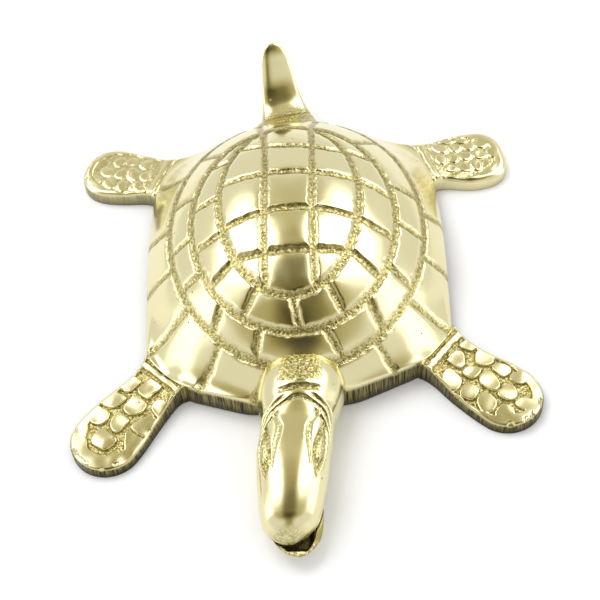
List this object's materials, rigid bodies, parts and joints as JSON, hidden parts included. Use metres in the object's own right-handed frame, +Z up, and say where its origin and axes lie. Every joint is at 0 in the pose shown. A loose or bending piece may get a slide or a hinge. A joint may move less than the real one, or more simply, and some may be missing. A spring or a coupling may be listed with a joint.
{
  "type": "turtle figurine",
  "caption": "Cast brass turtle figurine with a hollow domed shell chased into scutes, paddle flippers with scale relief, a long smooth head with an open mouth and a raised horn-shaped tail.",
  "frame": {"origin": "middle of the bounding box's footprint, on the surface it stands on", "axes": "+Z up, head towards -Y, tail towards +Y; pieces named right lie towards +X and pieces named left towards -X, as one sees them facing the head"},
  "size_m": [0.0989, 0.1258, 0.025],
  "materials": {
    "brass": "polished by hand, chased grooves matted",
    "braze": "as brazed, dull"
  },
  "bodies": {
    "root": {"shell": "brass", "head": "brass", "lower_jaw": "brass", "tail": "brass", "front_right_flipper": "brass", "front_left_flipper": "brass", "rear_right_flipper": "brass", "rear_left_flipper": "brass", "neck_braze_bead": "braze", "tail_braze_bead": "braze", "front_right_braze_bead": "braze", "front_left_braze_bead": "braze", "rear_right_braze_bead": "braze", "rear_left_braze_bead": "braze"}
  },
  "joints": []
}
